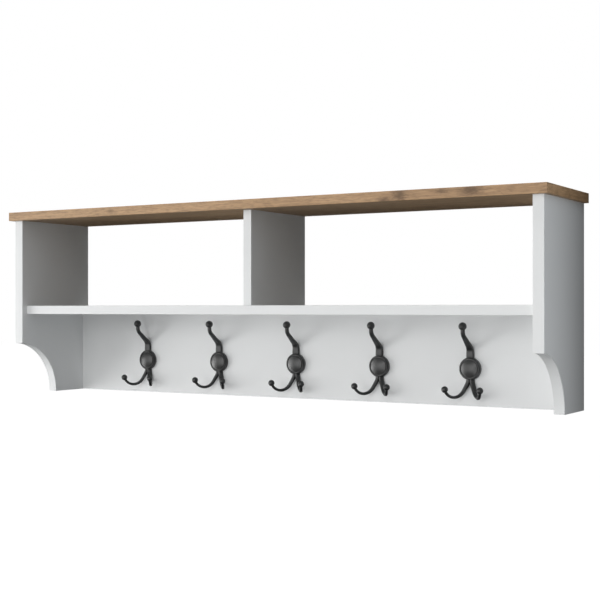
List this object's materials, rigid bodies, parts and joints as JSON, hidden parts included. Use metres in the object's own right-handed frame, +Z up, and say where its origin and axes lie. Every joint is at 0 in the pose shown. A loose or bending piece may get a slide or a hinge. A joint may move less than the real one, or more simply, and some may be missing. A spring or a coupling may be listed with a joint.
{
  "type": "wall hook rack",
  "caption": "Wall-hung coat rack with an oak-look top, white carcass, open divided shelf and black three-armed hooks on the back board below.",
  "frame": {"origin": "on the wall plane, in the middle of the back board's rear face, 77 mm above the bottom edge of the side panels", "axes": "+X right along the wall, +Y into the wall, +Z up"},
  "size_m": [1.08, 0.2, 0.35],
  "materials": {
    "oak_board": "oak-look melamine on particleboard, satin",
    "oak_edging": "oak-look edging, satin",
    "white_board": "white melamine on particleboard, satin",
    "white_edging": "white edging, satin",
    "black_casting": "black powder coat, satin",
    "black_cap": "black powder coat, satin",
    "plated_steel": "bright zinc plate",
    "cast_zinc": "as cast",
    "beech_dowel": "bare",
    "oak_cover": "oak-look, satin"
  },
  "bodies": {
    "root": {"top_board": "oak_board", "top_front_band": "oak_edging", "top_rear_band": "oak_edging", "top_left_band": "oak_edging", "top_right_band": "oak_edging", "left_side_panel": "white_board", "right_side_panel": "white_board", "left_side_band": "white_edging", "right_side_band": "white_edging", "side_foot_bands": "white_edging", "centre_divider": "white_board", "divider_front_band": "white_edging", "shelf_board": "white_board", "shelf_front_band": "white_edging", "back_board": "white_board", "back_bottom_band": "white_edging", "shelf_cam_bolts": "plated_steel", "back_cam_bolts": "plated_steel", "shelf_cam_nuts": "cast_zinc", "back_cam_nuts": "cast_zinc", "side_dowels": "beech_dowel", "shelf_to_back_dowels": "beech_dowel", "top_assembly_screws": "plated_steel", "divider_screws": "plated_steel", "hanger_screws": "plated_steel", "top_screw_covers": "oak_cover", "left_hanger_plate": "plated_steel", "right_hanger_plate": "plated_steel", "hook_1_body": "black_casting", "hook_1_cap": "black_cap", "hook_1_screws": "plated_steel", "hook_2_body": "black_casting", "hook_2_cap": "black_cap", "hook_2_screws": "plated_steel", "hook_3_body": "black_casting", "hook_3_cap": "black_cap", "hook_3_screws": "plated_steel", "hook_4_body": "black_casting", "hook_4_cap": "black_cap", "hook_4_screws": "plated_steel", "hook_5_body": "black_casting", "hook_5_cap": "black_cap", "hook_5_screws": "plated_steel"}
  },
  "joints": []
}
